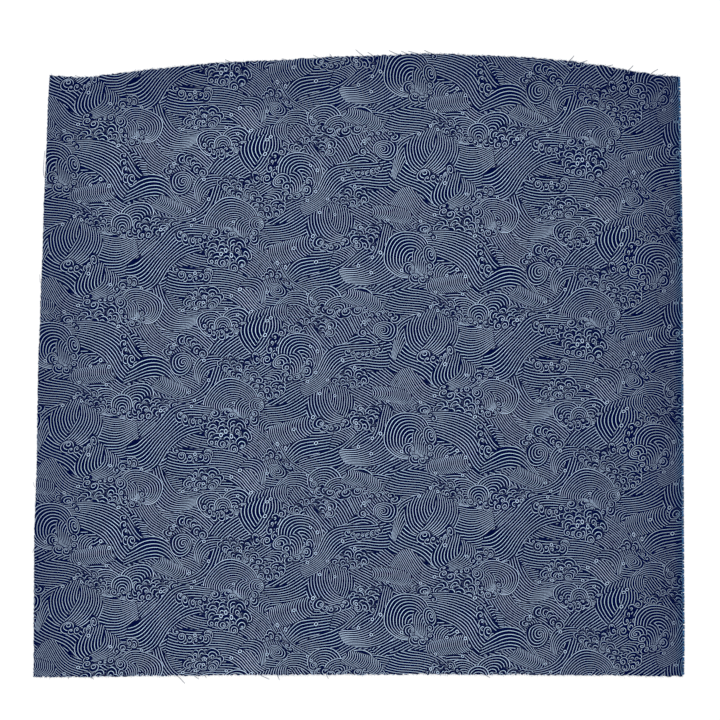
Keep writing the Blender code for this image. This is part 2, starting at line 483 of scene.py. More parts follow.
class PrintSettings(bpy.types.PropertyGroup):
    """The wave print: its lines and colours."""

    pitch: a_length("Line pitch", "Distance between the lines of a motif", 0.00204)
    curl_pitch: a_length("Curl pitch", "Distance between the lines of a small curl", 0.00182)
    widest: a_length("Widest line", "Width of a line where there is room", 0.00043)
    finest: a_length("Finest line", "Width of a line where lines crowd", 0.000265)
    share: a_share("Line share", "Share of its pitch that a line takes", 0.123)
    gap: a_length("Rim gap", "Dark room left round each motif", 0.0006)
    ground: a_colour("Ground", "Colour of the printed ground", (0.0001, 0.0023, 0.0300))
    line: a_colour("Line", "Colour of the printed lines", (0.585, 0.740, 0.930))
    edge_line: a_colour("Line at the selvedge", "Colour of the lines where the dye ran", (0.31, 0.58, 0.82))
    seed: IntProperty(name="Seed", description="Chooses the small curls and the spray", default=8)


class ClothSettings(bpy.types.PropertyGroup):
    """The cotton itself."""

    thickness: a_length("Thickness", "Thickness of the cotton", 0.00035)
    thread: a_length("Thread pitch", "Distance between the threads of the weave", 0.00042)
    grid: a_length("Mesh grid", "Distance between the mesh's own points", 0.008)
    plain: a_colour("Unprinted cotton", "Colour where nothing is printed", (0.030, 0.070, 0.148))
    roughness: a_share("Roughness", "Roughness of the cotton", 0.88)


class StrandSettings(bpy.types.PropertyGroup):
    """The fringe, the loose threads and the raveled ends."""

    radius: a_length("Thread radius", "Radius of a loose thread", 0.00027)
    ravel_pitch: a_length("Ravel pitch", "Distance between raveled ends on a cut", 0.0010)
    tuft_ends: IntProperty(name="Ends in a tuft", description="Weft ends in one tuft", default=7)
    fringe: a_colour("Fringe", "Colour of the selvedge fringe", (0.0038, 0.0266, 0.067))
    thread: a_colour("Thread", "Colour of the loose threads", (0.066, 0.088, 0.140))


class StageSettings(bpy.types.PropertyGroup):
    """The floor, the light and the camera."""

    height: a_length("Camera height", "Height of the camera over the cloth", 2.4)
    view: a_length("View width", "Width of floor that the camera sees", 0.6365)
    floor: a_colour("Floor", "Colour of the floor", (0.71, 0.71, 0.71))
    ambient: FloatProperty(name="Ambient", description="Strength of the light from all round", default=1.08)
    key: FloatProperty(name="Key light", description="Power of the soft light", default=57.0, unit="POWER")


def held(value, low, high):
    """A number held between two others."""
    return min(max(value, low), high)


def around(draw, reach):
    """A random number up to a reach either way from 0."""
    return draw.uniform(-reach, reach)


def beside(at, turn, along, aside):
    """A point at a distance along a direction and aside from it."""
    return (
        at[0] + along * math.cos(turn) - aside * math.sin(turn),
        at[1] + along * math.sin(turn) + aside * math.cos(turn),
    )


def round_patch(at, reach, turn, lopsided, squeeze, pitch, coil=0, layer=MOTIF_LAYER, order=None):
    """A patch of rings, whose middles wander off to one side as far as it is lopsided."""
    return SimpleNamespace(
        kind=ROUND, at=at, turn=turn, form=(lopsided, squeeze, coil), size=(reach, reach, pitch),
        wave=(0.0, 0.0), layer=layer, order=at[1] if order is None else order,
    )


def band_patch(at, reach, length, turn, pitch, bow=0.0, sway=0.0, wave=1.0, start=0.0, fan=0.0,
               layer=MOTIF_LAYER, order=None):
    """A patch of lines side by side, which may bow, sway and fan out."""
    pitch *= 1 + FAN_OPENING * abs(fan) * length
    half = round(2 * reach / pitch) * pitch / 2
    return SimpleNamespace(
        kind=BAND, at=at, turn=turn, form=(fan, bow, sway), size=(half, length, pitch),
        wave=(math.tau / wave, start), layer=layer, order=at[1] if order is None else order,
    )


class Spot:
    """A motif's place on the repeat, with its size, its way up and its hand.

    The motif's parts are given in its own size: where they lie along and aside of its middle, how far they
    reach, the degrees that they face, and how far behind they are painted.
    """

    def __init__(self, row, sizes, draw):
        self.at = (row.across * MM, row.along * MM)
        self.size = row.size * MM
        self.turn = math.radians(row.turn)
        self.hand = row.hand
        self.pitch = sizes.pitch
        self.curl_pitch = sizes.curl_pitch
        self.draw = draw

    def put(self, along, aside):
        """A point in the motif's own sizes."""
        return beside(self.at, self.turn, along * self.hand * self.size, aside * self.size)

    def face(self, degrees):
        """A direction in the motif's own turn and hand."""
        angle = math.radians(degrees)
        return self.turn + (angle if self.hand > 0 else math.pi - angle)

    def order(self, step):
        """Painter's order: what stands lower on the cloth lies in front."""
        return self.at[1] + step * self.size

    def rings(self, place, reach, facing, lopsided, squeeze, order, coil=0, loose=1.0):
        """A large round patch of the motif."""
        pitch = loose * self.pitch * self.draw.uniform(*RING_PITCHES) / (1 + RING_OPENING * lopsided)
        return round_patch(
            self.put(*place), reach * self.size, self.face(facing), lopsided, squeeze, pitch,
            coil=coil * self.hand, order=self.order(order),
        )

    def lines(self, place, reach, length, facing, order, bow=0.0, sway=0.0, wave=1.0, fan=0.0):
        """A band of the motif."""
        return band_patch(
            self.put(*place), reach * self.size, length * self.size, self.face(facing),
            self.pitch * self.draw.uniform(*BAND_PITCHES),
            bow=bow * self.hand / self.size, sway=sway * self.size, wave=wave * self.size,
            start=self.draw.uniform(0, math.tau) if sway else 0.0, fan=fan / self.size,
            order=self.order(order),
        )

    def curls(self, middle, rim, first, last, big, small, order):
        """Hooks that overlap along a rim, from one angle to another."""
        draw = self.draw
        radius = (big + small) / 2
        length = math.radians(abs(first - last)) * rim
        count = max(3, round(length / (HOOK_PITCH * radius)))
        found = []
        for index in range(count):
            share = (index + around(draw, HOOK_SHIFT)) / (count - 1)
            degrees = first + (last - first) * share
            away = rim + around(draw, HOOK_STRAY) * radius
            reach = (big + (small - big) * share) * self.size * draw.uniform(*HOOK_SIZES)
            found.append(round_patch(
                self.put(*beside(middle, math.radians(degrees), away, 0.0)),
                max(reach, HOOK_LEAST * self.curl_pitch), self.face(degrees + draw.uniform(*HOOK_TURNS)),
                draw.uniform(*HOOK_LOPSIDED), draw.uniform(*HOOK_SQUEEZE), self.curl_pitch,
                coil=self.hand * draw.choice(HOOK_HANDS), order=self.order(order - HOOK_STEP * share),
            ))
        return found


def breaker(spot):
    """A wave that breaks towards its hand: rising streams, two crowns, a claw and a foot of foam."""
    return [
        spot.lines((-1.5, -0.1), 0.6, 1.5, 28, 0.5, bow=-0.35, fan=0.25),
        spot.rings((0.0, -0.1), 0.95, 105, 0.44, 0.85, 0.4),
        spot.lines((0.75, -0.2), 0.85, 0.4, 60, 0.1, bow=1.2, fan=0.2),
        spot.rings((1.05, 0.25), 0.36, 200, 0.28, 1.1, -0.1, coil=-1, loose=1.15),
        *spot.curls((0.3, -0.2), 0.5, 180, 360, 0.2, 0.15, -0.2),
        *spot.curls((0.35, 0.5), 1.0, 80, 20, 0.2, 0.14, -0.02),
    ]


def swell(spot):
    """Arches that rise side by side from a foot of foam."""
    return [
        spot.rings((-0.75, -0.35), 0.8, 100, 0.46, 1.0, 0.3),
        spot.rings((0.65, -0.3), 0.75, 75, 0.46, 0.95, 0.2),
        spot.rings((-0.05, -0.55), 0.6, 92, 0.42, 1.05, 0.1),
        *spot.curls((0.0, 1.6), 2.2, 238, 302, 0.2, 0.2, 0.0),
    ]


def whirl(spot):
    """A stream that rolls up into a coil, with foam over it."""
    return [
        spot.lines((-1.5, -0.35), 0.55, 1.7, -16, 0.3, bow=0.3, fan=-0.25),
        spot.rings((0.0, 0.0), 0.75, 200, 0.26, 1.25, 0.1, coil=2, loose=1.25),
        spot.lines((1.2, -0.1), 0.45, 1.0, 35, 0.2, bow=0.5, fan=0.3),
        *spot.curls((0.0, 0.0), 1.1, 150, 20, 0.2, 0.26, -0.05),
    ]


def plume(spot):
    """Lines that fan up from a foot and bend over to both sides, with foam at the foot."""
    return [
        spot.lines((-0.55, 0.25), 0.7, 1.1, 115, 0.4, bow=0.45, fan=0.25),
        spot.lines((0.5, 0.15), 0.6, 1.0, 60, 0.3, bow=-0.5, fan=0.22),
        *spot.curls((0.0, 0.0), 0.75, 215, 325, 0.2, 0.2, 0.0),
    ]


def stream(spot):
    """A long stream in the shape of an S, with a few hooks in its bend."""
    fan = around(spot.draw, 0.3)
    return [
        spot.lines((0.0, 0.0), 0.30, 1.05, 0, 0.2, sway=0.17, wave=2.1, fan=fan),
        *spot.curls((0.7, 0.4), 0.42, 200, 300, 0.08, 0.07, 0.1),
    ]


def crest(spot):
    """A row of short arcs, one before the other."""
    return [spot.lines((0.0, 0.0), 1.0, 0.42, 90, 0.0, bow=1.1, fan=around(spot.draw, 0.3))]


def foam(spot):
    """Loose hooks that overlap like scales."""
    draw = spot.draw
    across, along = FOAM_ACROSS * spot.curl_pitch, FOAM_ALONG * spot.curl_pitch
    tall = FOAM_HEIGHT * spot.size
    lines = int(2 * tall / along) + 1
    found = []
    for line in range(lines):
        aside = (line - (lines - 1) / 2) * along
        reach = spot.size * math.sqrt(max(0.0, 1 - (aside / (tall + along / 2)) ** 2))
        count = int(2 * reach / across) + 1
        for index in range(count):
            shift = (index - (count - 1) / 2 + around(draw, FOAM_SHIFT)) * across
            place = beside(spot.at, spot.turn, shift, aside + around(draw, FOAM_RISE) * along)
            hand = draw.choice((-1, 1))
            found.append(round_patch(
                place, draw.uniform(*FOAM_SIZES) * spot.curl_pitch,
                math.radians(90 + hand * draw.uniform(0, FOAM_TURN)),
                draw.uniform(*HOOK_LOPSIDED), draw.uniform(*FOAM_SQUEEZE), spot.curl_pitch, coil=hand,
            ))
    return found


MOTIFS = {motif.__name__: motif for motif in (breaker, swell, whirl, plume, stream, crest, foam)}


def current_patches(sizes, draw):
    """Wavy bands that lie under everything."""
    found = []
    for column in range(CURRENT_COLUMNS):
        for line in range(CURRENT_ROWS):
            across = (column + 0.5 + around(draw, CURRENT_SHIFT)) * REPEAT_ACROSS / CURRENT_COLUMNS
            along = (line + 0.5 + around(draw, CURRENT_SHIFT)) * REPEAT_ALONG / CURRENT_ROWS
            found.append(band_patch(
                (across, along), CURRENT_REACH, CURRENT_LENGTH,
                math.radians(around(draw, CURRENT_TURN)), sizes.pitch * draw.uniform(*BAND_PITCHES),
                bow=around(draw, CURRENT_BOW), sway=draw.uniform(*CURRENT_SWAYS),
                wave=draw.uniform(*CURRENT_WAVES), start=draw.uniform(0, math.tau),
                fan=around(draw, CURRENT_FAN), layer=GROUND_LAYER,
            ))
    return found


def spray_patches(draw):
    """Small rings of spray, anywhere on the repeat."""
    found = []
    for _ in range(SPRAY_COUNT):
        at = (draw.uniform(0, REPEAT_ACROSS), draw.uniform(0, REPEAT_ALONG))
        found.append(round_patch(at, SPRAY_REACH, 0.0, 0.0, 1.0, SPRAY_PITCH, layer=SPRAY_LAYER))
    return found


def repeat_patches(sizes):
    """All patches of one repeat of the print."""
    draw = random.Random(sizes.seed)
    found = current_patches(sizes, draw)
    for row in MOTIF_PLACES:
        found += MOTIFS[row.motif](Spot(row, sizes, draw))
    return found + spray_patches(draw)


def drift_at(across, along):
    """How far the drawing has drifted at places of the cloth."""
    moved = np.zeros((2, len(across)))
    for wave in DRIFTS:
        turns = (wave.wide - wave.tall / 2) * across / REPEAT_ACROSS + wave.tall * along / REPEAT_ALONG
        moved += np.outer((wave.across, wave.along), np.sin(math.tau * turns + wave.start))
    return moved.T


def drawn(places):
    """Where places of the cloth lie on the drawing."""
    return places + drift_at(places[:, 0], places[:, 1])


def undrawn(points):
    """Where points of the drawing lie on the cloth."""
    places = points.copy()
    for _ in range(DRIFT_ROUNDS):
        places = points - drift_at(places[:, 0], places[:, 1])
    return places


def edge_of(patch, grow):
    """A patch's outline on the drawing, grown by its rim: an oval, or a bent oblong with round corners."""
    reach, length, _ = patch.size
    long, wide = length + grow, reach + grow
    if patch.kind == ROUND:
        steps = held(round(math.sqrt(wide / ROUND_FINENESS)), *ROUND_STEPS)
    else:
        steps = held(round((long + wide) / BAND_FINENESS), *BAND_STEPS)
    angles = math.tau * (np.arange(steps) + 0.5) / steps
    cosines, sines = np.cos(angles), np.sin(angles)
    if patch.kind == ROUND:
        lopsided, squeeze, _ = patch.form
        across = lopsided * reach + wide * cosines
        aside = wide * sines / squeeze
    else:
        fan, bow, sway = patch.form
        wave, start = patch.wave
        corner = (cosines**4 + sines**4) ** -0.25
        across = long * cosines * corner
        aside = wide * sines * corner * np.maximum(1 + fan * across, LEAST_SPREAD) - bow * across**2
        aside -= sway * np.sin(wave * across + start)
    return np.stack(beside(patch.at, patch.turn, across, aside), axis=1)


def patches_on(low, high, sizes):
    """Every patch that shows between two corners of the drawing, from the hindmost to the foremost."""
    found = []
    columns = range(math.floor(low[0] / REPEAT_ACROSS) - 1, math.ceil(high[0] / REPEAT_ACROSS) + 1)
    lines = range(math.floor(low[1] / REPEAT_ALONG) - 2, math.ceil(high[1] / REPEAT_ALONG) + 2)
    for number, patch in enumerate(repeat_patches(sizes)):
        edge = edge_of(patch, sizes.widest / 2 + sizes.gap)
        for column in columns:
            for line in lines:
                shift = np.array((column * REPEAT_ACROSS, (line + column % 2 / 2) * REPEAT_ALONG))
                if (edge.min(0) + shift > high).any() or (edge.max(0) + shift < low).any():
                    continue
                depth = (patch.layer, -(patch.order + shift[1]), number)
                found.append(SimpleNamespace(patch=patch, shift=shift, edge=edge + shift, depth=depth))
    return sorted(found, key=lambda entry: entry.depth)


def cut_into_patches(border, placed):
    """Cuts the cloth by the patches' outlines. Gives points, triangles and the foremost patch on each."""
    points = [Vector(point) for point in border]
    loops = [list(range(len(points)))]
    for entry in placed:
        first = len(points)
        points += [Vector(point) for point in entry.edge]
        loops.append(list(range(first, len(points))))
    corners, _, triangles, _, _, stacks = delaunay_2d_cdt(points, [], loops, 0, FINE_NEARNESS, True)
    shown = [(triangle, max(stack)) for triangle, stack in zip(triangles, stacks) if 0 in stack]
    return corners, [triangle for triangle, _ in shown], [owner for _, owner in shown]


def seams_between(triangles, owners):
    """The edges where the owner changes, and the cloth's own border."""
    sides = {}
    for triangle, owner in zip(triangles, owners):
        for index in range(3):
            sides[triangle[index], triangle[(index + 1) % 3]] = owner
    seams = []
    for (first, second), owner in sides.items():
        other = sides.get((second, first))
        if other is None or (other != owner and first < second):
            seams.append((first, second))
    return seams


def grid_points(low, high, step):
    """Points of an even grid between two corners."""
    across = np.arange(low[0] + step / 2, high[0], step)
    along = np.arange(low[1] + step / 2, high[1], step)
    return [Vector((x, y)) for x in across for y in along]


def finder_of(corners, triangles):
    """Finds which triangle lies over a point."""
    tree = BVHTree.FromPolygons([(corner[0], corner[1], 0.0) for corner in corners], triangles)
    down = Vector((0.0, 0.0, -1.0))
    return lambda point: tree.ray_cast(Vector((point[0], point[1], 1.0)), down)[2]


def welded(points, nearness):
    """The points that are left when near ones become one, and the new number of each point."""
    places = [(point[0], point[1], 0.0) for point in points]
    tree = KDTree(len(places))
    for index, place in enumerate(places):
        tree.insert(place, index)
    tree.balance()
    chosen = list(range(len(places)))
    for index, place in enumerate(places):
        near = [found for _, found, _ in tree.find_range(place, nearness)]
        chosen[index] = min(found for found in near if found <= index and chosen[found] == found)
    kept = sorted(set(chosen))
    number = {index: place for place, index in enumerate(kept)}
    return [points[index] for index in kept], [number[index] for index in chosen]


def mesh_of_seams(corners, triangles, owners, step):
    """A lighter mesh, with edges only where they are needed and points on an even grid."""
    seams = seams_between(triangles, owners)
    used = sorted({index for seam in seams for index in seam})
    points, numbers = welded([corners[index] for index in used], SEAM_WELD)
    number = dict(zip(used, numbers))
    flat = np.array([tuple(point) for point in points])
    points += grid_points(flat.min(0), flat.max(0), step)
    edges = {tuple(sorted((number[first], number[second]))) for first, second in seams}
    edges = sorted(edge for edge in edges if edge[0] != edge[1])
    placed, _, pieces, _, _, _ = delaunay_2d_cdt(points, edges, [], 0, SEAM_NEARNESS, False)
    places = np.array([tuple(point) for point in placed])
    faces = np.array(pieces)
    find = finder_of(corners, triangles)
    under = [find(middle) for middle in places[faces].mean(axis=1)]
    kept = [index for index, found in enumerate(under) if found is not None]
    return places, faces[kept], np.array([owners[under[index]] for index in kept])


def only_used(places, faces):
    """The points that the faces use, and the faces by their new numbers."""
    used, numbers = np.unique(faces, return_inverse=True)
    return places[used], numbers.reshape(faces.shape)


def loop_of(faces):
    """The border of a mesh of triangles, as one loop of its points in their order."""
    pairs = {(face[index], face[(index + 1) % 3]) for face in faces.tolist() for index in range(3)}
    ahead = {first: second for first, second in pairs if (second, first) not in pairs}
    start = min(ahead)
    loop = [start]
    while ahead[loop[-1]] != start:
        loop.append(ahead[loop[-1]])
    if len(loop) != len(ahead):
        raise RuntimeError("the cloth's border isn't one loop")
    return loop


def underside_of(border, step):
    """A coarse mesh inside a border. Its first points are the border's own."""
    count = len(border)
    points = [Vector(point) for point in border] + grid_points(border.min(0), border.max(0), step)
    rim = [list(range(count))]
    corners, _, triangles, sources, _, stacks = delaunay_2d_cdt(points, [], rim, 0, FINE_NEARNESS, True)
    number = {}
    for index, source in enumerate(sources):
        own = [found for found in source if found < count]
        if len(own) > 1:
            raise RuntimeError("two points of the cloth's border have merged")
        number[index] = own[0] if own else None
    places = [tuple(point) for point in border]
    for index, corner in enumerate(corners):
        if number[index] is None:
            number[index] = len(places)
            places.append(tuple(corner))
    inside = [triangle for triangle, stack in zip(triangles, stacks) if stack]
    return np.array(places), np.array([[number[index] for index in triangle] for triangle in inside])


def swell_at(places):
    """Height of the cloth's gentle waves."""
    rise = np.zeros(len(places))
    for wave in SWELLS:
        turns = places[:, 0] / wave.across + places[:, 1] / wave.along
        rise += wave.height * (1 + np.sin(math.tau * turns + wave.start))
    return rise


def outline_of_source():
    """The points round the source's cloth, counterclockwise from its low left corner."""
    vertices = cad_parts["cloth"].data.vertices
    points = np.array(sorted({(round(v.co.x, 6), round(v.co.y, 6)) for v in vertices}))
    middle = (points.min(0) + points.max(0)) / 2
    angles = np.arctan2(points[:, 1] - middle[1], points[:, 0] - middle[0])
    points = points[np.argsort(angles)]
    return np.roll(points, -int(np.argmin(points.sum(axis=1))), axis=0)


def cloth_sides():
    """The cloth's four sides, grown over the strips that carry the strands, with their shallow bays."""
    points = outline_of_source()
    low_right = int(np.argmax(points[:, 0] - points[:, 1]))
    high_right = int(np.argmax(points.sum(axis=1)))
    high_left = int(np.argmin(points[:, 0] - points[:, 1]))
    sides = {
        "bottom": points[: low_right + 1].copy(),
        "right": points[low_right: high_right + 1].copy(),
        "top": points[high_right: high_left + 1].copy(),
        "left": np.concatenate([points[high_left:], points[:1]]),
    }
    for name, side in sides.items():
        axis, low, high = (0, "left", "right") if name in ("bottom", "top") else (1, "bottom", "top")
        spread = (side[:, axis].min(), side[:, axis].max())
        side[:, axis] += np.interp(side[:, axis], spread, (-GROWTH[low], GROWTH[high]))
        side[:, 1 - axis] += GROWTH[name] if name in ("top", "right") else -GROWTH[name]
    for bay in BAYS:
        side = along_side(sides[bay.side], CUT_STEP)
        height = (side[:, 1] - SOURCE_BOX[0].y - bay.middle) / bay.reach
        inward = 1 if bay.side == "left" else -1
        side[:, 0] += inward * bay.depth * np.exp(-height * height)
        sides[bay.side] = side
    return sides


def along_side(side, step):
    """Points at even steps along a side, with both ends."""
    lengths = np.concatenate([[0.0], np.cumsum(np.hypot(*np.diff(side, axis=0).T))])
    marks = np.linspace(0.0, lengths[-1], max(2, round(lengths[-1] / step)) + 1)
    return np.stack([np.interp(marks, lengths, side[:, 0]), np.interp(marks, lengths, side[:, 1])], axis=1)


def side_at(side, axis, values):
    """Where a side lies at values of one axis, which is 0 across the cloth and 1 along it."""
    order = np.argsort(side[:, axis])
    return np.interp(values, side[order, axis], side[order, 1 - axis])


def cloth_border(sides, draw):
    """The whole border: cuts with loosened threads, and a smooth selvedge."""
    border = []
    for name in ("bottom", "right", "top", "left"):
        rough = CUT_ROUGHNESS[name]
        points = along_side(sides[name], CUT_STEP)
        ahead = np.gradient(points, axis=0)
        ahead /= np.hypot(*ahead.T)[:, None]
        for index, (point, way) in enumerate(zip(points[:-1], ahead)):
            push = around(draw, rough) if index else 0.0
            border.append((point[0] + way[1] * push, point[1] - way[0] * push))
    return np.array(border)


def side_distance(sides, places):
    """Distance of places from the selvedge, the nearest cut, and the nearer of the left and top cuts."""
    to_selvedge = side_at(sides["right"], 1, places[:, 1]) - places[:, 0]
    to_left = places[:, 0] - side_at(sides["left"], 1, places[:, 1])
    to_top = side_at(sides["top"], 0, places[:, 0]) - places[:, 1]
    to_bottom = places[:, 1] - side_at(sides["bottom"], 0, places[:, 0])
    to_left_or_top = np.minimum(to_top, to_left)
    return np.column_stack([to_selvedge, np.minimum(to_left_or_top, to_bottom), to_left_or_top])


def new_piece(name, corners, faces, material):
    """A smooth mesh object that rides on the part's one body."""
    mesh = bpy.data.meshes.new(name)
    mesh.from_pydata(corners, [], faces)
    mesh.materials.append(material)
    mesh.shade_smooth()
    mesh.set_sharp_from_angle(angle=math.radians(SHARP_ANGLE))
    mesh.update()
    piece = bpy.data.objects.new(name, mesh)
    bpy.context.scene.collection.objects.link(piece)
    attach(piece, BODY)
    return piece


def keep_values(mesh, name, domain, values):
    """Keeps a number or a vector for each face, corner or point of a mesh, for its material."""
    kind, field = ("FLOAT", "value") if np.ndim(values) == 1 else ("FLOAT_VECTOR", "vector")
    found = mesh.attributes.new(name, kind, domain)
    found.data.foreach_set(field, np.ascontiguousarray(values, dtype=np.float32).ravel())


def patch_values(placed, points, faces, owners):
    """For each corner its place on its patch, and for each face its patch's form, size and wave."""
    values = [(0.0, 0.0, 0.0, 0.0, 1.0, 0.0, 1.0, 1.0, 1.0, 0.0, 0.0, BARE)]
    for entry in placed:
        patch, origin = entry.patch, entry.patch.at + entry.shift
        values.append((patch.turn, *origin, *patch.form, *patch.size, *patch.wave, patch.kind))
    turns, origins, forms, sizes, waves = np.split(np.array(values)[owners], (1, 3, 6, 9), axis=1)
    away = points[faces] - origins[:, None]
    cosines, sines = np.cos(turns), np.sin(turns)
    spots = np.stack([
        away[..., 0] * cosines + away[..., 1] * sines,
        away[..., 1] * cosines - away[..., 0] * sines,
        np.zeros(away.shape[:2]),
    ], axis=2)
    return spots, forms, sizes, waves


def both_ways(operation):
    """An arithmetic operator of values, and its reflected form."""
    def ahead(self, other):
        return self.paint.math(operation, self, other)

    def reflected(self, other):
        return self.paint.math(operation, other, self)

    return ahead, reflected


class Value:
    """A socket of a material's nodes that ordinary arithmetic works on."""

    def __init__(self, paint, socket):
        self.paint = paint
        self.socket = socket

    def __abs__(self):
        return self.paint.math("ABSOLUTE", self)

    __add__, __radd__ = both_ways("ADD")
    __sub__, __rsub__ = both_ways("SUBTRACT")
    __mul__, __rmul__ = both_ways("MULTIPLY")
    __truediv__, __rtruediv__ = both_ways("DIVIDE")


class Paint:
    """A material whose nodes are written as expressions."""

    def __init__(self, name, roughness, sheen=0.0):
        self.material = bpy.data.materials.new(name)
        self.material.use_nodes = True
        self.tree = self.material.node_tree
        self.shader = self.tree.nodes["Principled BSDF"]
        self.shader.inputs["Roughness"].default_value = roughness
        self.shader.inputs["Specular IOR Level"].default_value = SHINE
        self.shader.inputs["Sheen Weight"].default_value = sheen
        self.shader.inputs["Sheen Roughness"].default_value = SHEEN_ROUGHNESS

    def add(self, kind, settings, values, output=0):
        """Adds a node: its settings first, then the values or links of its sockets."""
        node = self.tree.nodes.new(kind)
        for name, setting in settings.items():
            setattr(node, name, setting)
        for name, value in values.items():
            if isinstance(value, Value):
                self.tree.links.new(value.socket, node.inputs[name])
            else:
                node.inputs[name].default_value = value
        return Value(self, node.outputs[output])

    def math(self, operation, *values):
        """A Math node on values, numbers or both."""
        return self.add("ShaderNodeMath", {"operation": operation}, dict(enumerate(values)))

    def root(self, value):
        """The square root."""
        return self.math("SQRT", value)

    def clear(self, value):
        """The value held between 0 and 1."""
        return self.add("ShaderNodeMath", {"operation": "ADD", "use_clamp": True}, {0: value, 1: 0.0})

    def between(self, value, low, high):
        """0 where the value is at low, 1 where it is at high, and smooth between."""
        settings = {"interpolation_type": "SMOOTHSTEP"}
        return self.add("ShaderNodeMapRange", settings, {"Value": value, "From Min": low, "From Max": high})

    def either(self, share, first, second):
        """The first value where the share is 0, the second where it is 1."""
        return self.add("ShaderNodeMix", {"data_type": "FLOAT"}, {0: share, 2: first, 3: second})

    def colours(self, share, first, second, way="MIX"):
        """Two colours, mixed by a share."""
        first, second = (
            found if isinstance(found, Value) else (*found, 1.0) for found in (first, second)
        )
        settings = {"data_type": "RGBA", "blend_type": way}
        return self.add("ShaderNodeMix", settings, {0: share, 6: first, 7: second}, output=2)

    def tones(self, share, colour, low, high):
        """A colour that goes from low times itself to high times itself by a share."""
        return self.colours(share, *([tone * part for part in colour] for tone in (low, high)))

    def kept(self, name, output=1):
        """What the mesh keeps under a name, as a vector, or as a value with output 2."""
        return self.add("ShaderNodeAttribute", {"attribute_name": name}, {}, output)

    def parts(self, vector):
        """The three parts of a vector."""
        node = self.add("ShaderNodeSeparateXYZ", {}, {0: vector}).socket.node
        return [Value(self, output) for output in node.outputs]

    def stretched(self, place, scale):
        """A place with each way scaled."""
        return self.add("ShaderNodeVectorMath", {"operation": "MULTIPLY"}, {0: place, 1: scale})

    def place(self):
        """Place on the object, in metres."""
        return self.add("ShaderNodeTexCoord", {}, {}, 3)

    def noise(self, place, size, detail=2.0):
        """Soft noise from 0 to 1, whose lumps have about the given size."""
        return self.add("ShaderNodeTexNoise", {}, {"Vector": place, "Scale": 1 / size, "Detail": detail})

    def relief(self, height, depth, strength):
        """Raises the surface by a height from 0 to 1 times the depth."""
        values = {"Strength": strength, "Distance": depth, "Height": height}
        self.feed("Normal", self.add("ShaderNodeBump", {}, values))

    def feed(self, name, value):
        """Links a value to the shader."""
        self.tree.links.new(value.socket, self.shader.inputs[name])


def round_field(paint, across, aside, form, size):
    """For a patch of rings: steps from its rim in pitches, room to the rim, and how dense the rings lie."""
    lopsided, squeeze, coil = form
    reach, _, pitch = size
    rest = 1 - lopsided * lopsided
    tall = squeeze * aside
    way = paint.root(across * across + rest * tall * tall) + TINY
    level = (way - lopsided * across) / rest
    lean = (across / way - lopsided) / rest
    rise = squeeze * tall / way
    slope = paint.root(lean * lean + rise * rise)
    turn = paint.math("ARCTAN2", tall, across) / math.tau
    return (reach - level) / pitch - coil * turn, (reach - level) / slope, slope


def band_field(paint, across, aside, form, size, wave):
    """The same for a band of lines, whose rim is a rounded oblong of fourth powers."""
    fan, bow, sway = form
    reach, length, pitch = size
    speed, start = wave
    spread = paint.math("MAXIMUM", 1 + fan * across, LEAST_SPREAD)
    swing = speed * across + start
    lift = aside + bow * across * across + sway * paint.math("SINE", swing)
    level = lift / spread
    lean = (2 * bow * across + sway * speed * paint.math("COSINE", swing) - level * fan) / spread
    slope = paint.root(lean * lean + 1 / (spread * spread))
    far, high = across / length, level / reach
    far_cube, high_cube = far * far * far, high * high * high
    fullness = far_cube * far + high_cube * high
    steep_far = 4 * (far_cube / length + high_cube * lean / reach)
    steep_high = 4 * high_cube / (reach * spread)
    steepness = paint.root(steep_far * steep_far + steep_high * steep_high) + BAND_EASE
    return (reach - level) / pitch, (1 - fullness) / steepness, slope


def print_mask(paint, sizes, place):
    """1 on the printed lines, 0 on the ground between them."""
    across, aside, _ = paint.parts(paint.kept("spot"))
    form = paint.parts(paint.kept("form"))
    size = paint.parts(paint.kept("size"))
    speed, start, kind = paint.parts(paint.kept("wave"))
    is_round = paint.clear(BAND - kind)
    is_patch = paint.clear(kind)
    rings = round_field(paint, across, aside, form, size)
    bands = band_field(paint, across, aside, form, size, (speed, start))
    steps, room, slope = (paint.either(is_round, band, ring) for band, ring in zip(bands, rings))
    spacing = size[2] / slope
    waver = (paint.noise(place, INK_WAVER_SIZE) - 0.5) * INK_WAVER
    hand = 1 + (paint.noise(place, INK_HAND_SIZE) - 0.5) * INK_HAND
    width = paint.math("MAXIMUM", sizes.share * spacing, sizes.finest)
    width = paint.math("MINIMUM", width, sizes.widest) * hand
    width = paint.math("MINIMUM", width, CROWDED_SHARE * spacing)
    aside_of_line = paint.math("PINGPONG", steps, 0.5) * spacing
    line = paint.clear((width / 2 - aside_of_line + waver) / INK_EDGE + 0.5)
    opened = paint.clear((spacing / sizes.pitch - BRANCH_AT) * BRANCH_RATE)
    aside_of_branch = paint.math("PINGPONG", steps + 0.5, 0.5) * spacing
    branch = paint.clear((width * opened / 2 - aside_of_branch) / INK_EDGE + opened / 2)
    inside = paint.clear((room + sizes.widest / 2) / INK_EDGE + 0.5)
    rim = paint.clear((RIM_SHARE * sizes.widest * hand / 2 - abs(room) + waver) / INK_EDGE + 0.5)
    closed = paint.clear(1 - abs(form[2]))
    drawn_lines = paint.math("MAXIMUM", line, branch) * inside
    return paint.math("MAXIMUM", drawn_lines, rim * is_round * closed) * is_patch


def weave_height(paint, place, pitch):
    """Height of a plain weave: one thread over, one under."""
    across, along, _ = paint.parts(paint.stretched(place, (1 / pitch, 1 / pitch, 1 / pitch)))
    hill_across = abs(paint.math("SINE", across * math.pi))
    hill_along = abs(paint.math("SINE", along * math.pi))
    over = paint.math("PINGPONG", paint.math("FLOOR", across) + paint.math("FLOOR", along), 1.0)
    return paint.either(
        over,
        hill_across * (HILL_LEAST + HILL_RISE * hill_along),
        hill_along * (HILL_LEAST + HILL_RISE * hill_across),
    )


